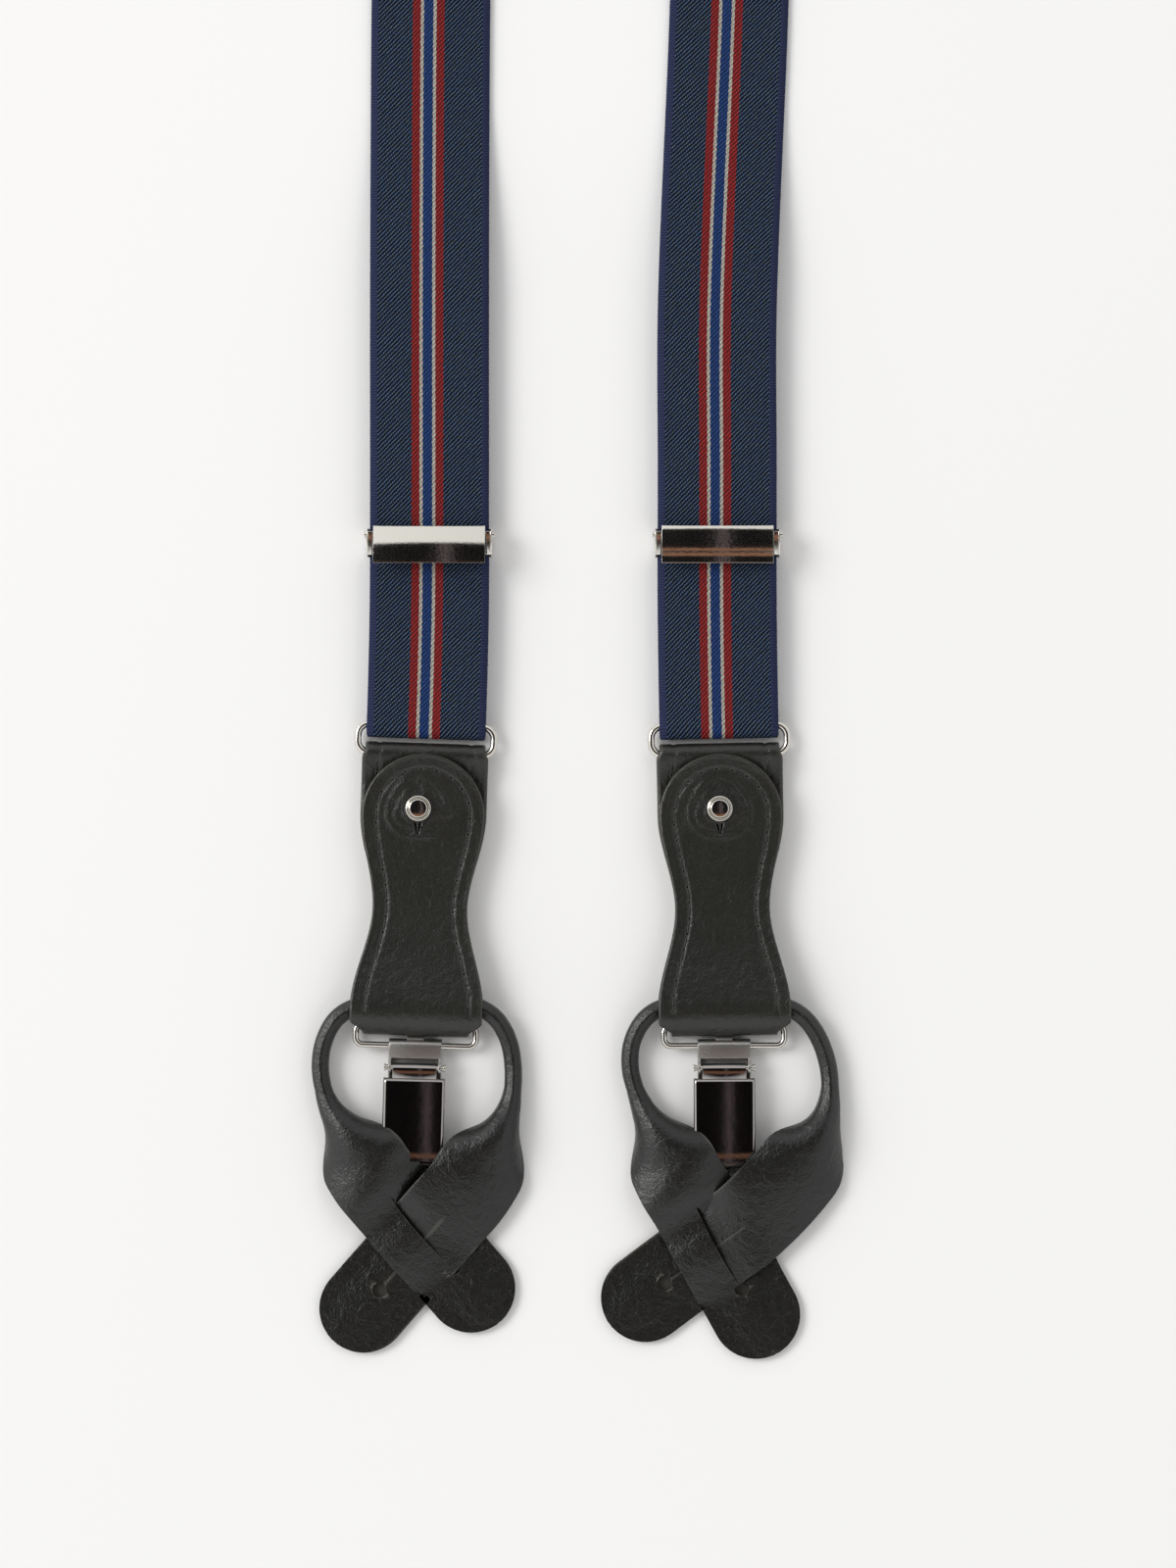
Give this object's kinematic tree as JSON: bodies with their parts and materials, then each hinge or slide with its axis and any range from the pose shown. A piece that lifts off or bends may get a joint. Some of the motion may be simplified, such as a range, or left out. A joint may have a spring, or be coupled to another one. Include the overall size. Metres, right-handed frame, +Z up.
{
  "type": "suspenders",
  "caption": "Y-back suspenders laid flat: striped elastic webbing, metal adjusters, leather tabs with flip clips and rolled runners with buttonhole tongues.",
  "frame": {"origin": "middle of the footprint, on the surface that it lies on", "axes": "+Y runs from the two front clips to the rear clip, +X is across, +Z is up out of the side that is worn outwards"},
  "size_m": [0.1554, 1.0582, 0.011],
  "materials": {
    "webbing": "navy twill elastic with a centre stripe of red, cream and royal blue",
    "leather": "black satin grain",
    "nickel_wire": "bright nickel plate",
    "nickel_plate": "bright nickel plate",
    "clip_plate": "polished dark nickel",
    "clip_liner": "black"
  },
  "bodies": {
    "straps": {"left_strap": "webbing", "right_strap": "webbing", "rear_strap": "webbing", "left_strap_return": "webbing", "right_strap_return": "webbing", "patch_front": "leather", "patch_back": "leather"},
    "left_ring": {"left_strap_ring": "nickel_wire"},
    "left_tab": {"left_tab_back": "leather", "left_stud": "nickel_wire", "left_stud_screw": "nickel_wire"},
    "left_flap": {"left_tab_flap": "leather"},
    "left_runner": {"left_runner": "leather"},
    "left_clip_link": {"left_clip_ring": "nickel_wire"},
    "left_clip": {"left_clip_base": "clip_plate", "left_clip_pin": "nickel_wire", "left_clip_pad_back": "clip_liner"},
    "left_jaw": {"left_clip_jaw": "clip_plate", "left_clip_pad_front": "clip_liner"},
    "left_lever": {"left_clip_lever": "clip_plate"},
    "right_ring": {"right_strap_ring": "nickel_wire"},
    "right_tab": {"right_tab_back": "leather", "right_stud": "nickel_wire", "right_stud_screw": "nickel_wire"},
    "right_flap": {"right_tab_flap": "leather"},
    "right_runner": {"right_runner": "leather"},
    "right_clip_link": {"right_clip_ring": "nickel_wire"},
    "right_clip": {"right_clip_base": "clip_plate", "right_clip_pin": "nickel_wire", "right_clip_pad_back": "clip_liner"},
    "right_jaw": {"right_clip_jaw": "clip_plate", "right_clip_pad_front": "clip_liner"},
    "right_lever": {"right_clip_lever": "clip_plate"},
    "rear_ring": {"rear_strap_ring": "nickel_wire"},
    "rear_tab": {"rear_tab_back": "leather", "rear_stud": "nickel_wire", "rear_stud_screw": "nickel_wire"},
    "rear_flap": {"rear_tab_flap": "leather"},
    "rear_runner": {"rear_runner": "leather"},
    "rear_clip_link": {"rear_clip_ring": "nickel_wire"},
    "rear_clip": {"rear_clip_base": "clip_plate", "rear_clip_pin": "nickel_wire", "rear_clip_pad_back": "clip_liner"},
    "rear_jaw": {"rear_clip_jaw": "clip_plate", "rear_clip_pad_front": "clip_liner"},
    "rear_lever": {"rear_clip_lever": "clip_plate"},
    "left_adjuster": {"left_adjuster_frame": "nickel_plate", "left_adjuster_pin": "nickel_plate", "left_strap_sewn_end": "webbing"},
    "left_adjuster_lever": {"left_adjuster_lever": "nickel_plate"},
    "right_adjuster": {"right_adjuster_frame": "nickel_plate", "right_adjuster_pin": "nickel_plate", "right_strap_sewn_end": "webbing"},
    "right_adjuster_lever": {"right_adjuster_lever": "nickel_plate"}
  },
  "joints": [
    {"name": "left_ring_swing", "type": "hinge", "parent": "straps", "child": "left_ring", "pos_m": [-0.04421, -0.3453, 0.00315], "axis": [-0.9994, 0.0349, 0], "range_deg": [-75, 60]},
    {"name": "left_tab_swing", "type": "hinge", "parent": "left_ring", "child": "left_tab", "pos_m": [-0.04449, -0.35349, 0.00315], "axis": [-0.9994, 0.0349, 0], "range_deg": [0, 45]},
    {"name": "left_flap_open", "type": "hinge", "parent": "left_tab", "child": "left_flap", "pos_m": [-0.04736, -0.43554, 0.00325], "axis": [0.9994, -0.0349, 0], "range_deg": [0, 50]},
    {"name": "left_runner_swing", "type": "hinge", "parent": "left_tab", "child": "left_runner", "pos_m": [-0.04719, -0.426, 0.00475], "axis": [-1, 0, 0], "range_deg": [0, 60], "deforming": ["left_runner"]},
    {"name": "left_clip_link_swing", "type": "hinge", "parent": "left_tab", "child": "left_clip_link", "pos_m": [-0.04725, -0.43245, 0.0031], "axis": [0.9997, -0.0262, 0], "range_deg": [-45, 70]},
    {"name": "left_clip_swing", "type": "hinge", "parent": "left_clip_link", "child": "left_clip", "pos_m": [-0.04741, -0.43844, 0.0031], "axis": [0.9997, -0.0262, 0], "range_deg": [-45, 70]},
    {"name": "left_clip_lever_open", "type": "hinge", "parent": "left_clip", "child": "left_lever", "pos_m": [-0.04757, -0.44474, 0.0052], "axis": [-0.9997, 0.0262, 0], "range_deg": [0, 85], "deforming": ["left_runner"]},
    {"name": "left_jaw_open", "type": "hinge", "parent": "left_clip", "child": "left_jaw", "pos_m": [-0.04746, -0.44049, 0.00255], "axis": [-0.9997, 0.0262, 0], "range_deg": [0, 4.25]},
    {"name": "right_ring_swing", "type": "hinge", "parent": "straps", "child": "right_ring", "pos_m": [0.04087, -0.3453, 0.00315], "axis": [-0.9998, -0.0192, 0], "range_deg": [-75, 60]},
    {"name": "right_tab_swing", "type": "hinge", "parent": "right_ring", "child": "right_tab", "pos_m": [0.04103, -0.3535, 0.00315], "axis": [-0.9998, -0.0192, 0], "range_deg": [0, 45]},
    {"name": "right_flap_open", "type": "hinge", "parent": "right_tab", "child": "right_flap", "pos_m": [0.0426, -0.43558, 0.00325], "axis": [0.9998, 0.0192, 0], "range_deg": [0, 50]},
    {"name": "right_runner_swing", "type": "hinge", "parent": "right_tab", "child": "right_runner", "pos_m": [0.04251, -0.42603, 0.00475], "axis": [-1, 0, 0], "range_deg": [0, 60], "deforming": ["right_runner"]},
    {"name": "right_clip_link_swing", "type": "hinge", "parent": "right_tab", "child": "right_clip_link", "pos_m": [0.04235, -0.43249, 0.0031], "axis": [1, 0.0052, 0], "range_deg": [-45, 70]},
    {"name": "right_clip_swing", "type": "hinge", "parent": "right_clip_link", "child": "right_clip", "pos_m": [0.04238, -0.43849, 0.0031], "axis": [1, 0.0052, 0], "range_deg": [-45, 70]},
    {"name": "right_clip_lever_open", "type": "hinge", "parent": "right_clip", "child": "right_lever", "pos_m": [0.04241, -0.44478, 0.0052], "axis": [-1, -0.0052, 0], "range_deg": [0, 85], "deforming": ["right_runner"]},
    {"name": "right_jaw_open", "type": "hinge", "parent": "right_clip", "child": "right_jaw", "pos_m": [0.04239, -0.44054, 0.00255], "axis": [-1, -0.0052, 0], "range_deg": [0, 4.25]},
    {"name": "rear_ring_swing", "type": "hinge", "parent": "straps", "child": "rear_ring", "pos_m": [-0.00005, 0.3465, 0.00315], "axis": [1, 0, 0], "range_deg": [-75, 60]},
    {"name": "rear_tab_swing", "type": "hinge", "parent": "rear_ring", "child": "rear_tab", "pos_m": [-0.00005, 0.3547, 0.00315], "axis": [1, 0, 0], "range_deg": [0, 45]},
    {"name": "rear_flap_open", "type": "hinge", "parent": "rear_tab", "child": "rear_flap", "pos_m": [-0.00005, 0.4368, 0.00325], "axis": [-1, 0, 0], "range_deg": [0, 50]},
    {"name": "rear_runner_swing", "type": "hinge", "parent": "rear_tab", "child": "rear_runner", "pos_m": [-0.00005, 0.42725, 0.00475], "axis": [1, 0, 0], "range_deg": [0, 60], "deforming": ["rear_runner"]},
    {"name": "rear_clip_link_swing", "type": "hinge", "parent": "rear_tab", "child": "rear_clip_link", "pos_m": [-0.00005, 0.4337, 0.0031], "axis": [-1, 0, 0], "range_deg": [-45, 70]},
    {"name": "rear_clip_swing", "type": "hinge", "parent": "rear_clip_link", "child": "rear_clip", "pos_m": [-0.00005, 0.4397, 0.0031], "axis": [-1, 0, 0], "range_deg": [-45, 70]},
    {"name": "rear_clip_lever_open", "type": "hinge", "parent": "rear_clip", "child": "rear_lever", "pos_m": [-0.00005, 0.446, 0.0052], "axis": [1, 0, 0], "range_deg": [0, 85], "deforming": ["rear_runner"]},
    {"name": "rear_jaw_open", "type": "hinge", "parent": "rear_clip", "child": "rear_jaw", "pos_m": [-0.00005, 0.44175, 0.00255], "axis": [1, 0, 0], "range_deg": [0, 4.25]},
    {"name": "left_adjuster_slide", "type": "slide", "parent": "straps", "child": "left_adjuster", "axis": [0, 1, 0], "range_m": [0, 0.06], "deforming": ["left_strap_return"]},
    {"name": "left_adjuster_lever_open", "type": "hinge", "parent": "left_adjuster", "child": "left_adjuster_lever", "pos_m": [-0.04325, -0.29, 0.0083], "axis": [-1, 0, 0], "range_deg": [0, 55]},
    {"name": "right_adjuster_slide", "type": "slide", "parent": "straps", "child": "right_adjuster", "axis": [0, 1, 0], "range_m": [0, 0.06], "deforming": ["right_strap_return"]},
    {"name": "right_adjuster_lever_open", "type": "hinge", "parent": "right_adjuster", "child": "right_adjuster_lever", "pos_m": [0.04035, -0.29, 0.0083], "axis": [-1, 0, 0], "range_deg": [0, 55]}
  ],
  "couplings": [
    {"joint": "left_jaw_open", "follows": "left_clip_lever_open", "ratio": 0.05},
    {"joint": "right_jaw_open", "follows": "right_clip_lever_open", "ratio": 0.05},
    {"joint": "rear_jaw_open", "follows": "rear_clip_lever_open", "ratio": 0.05}
  ]
}
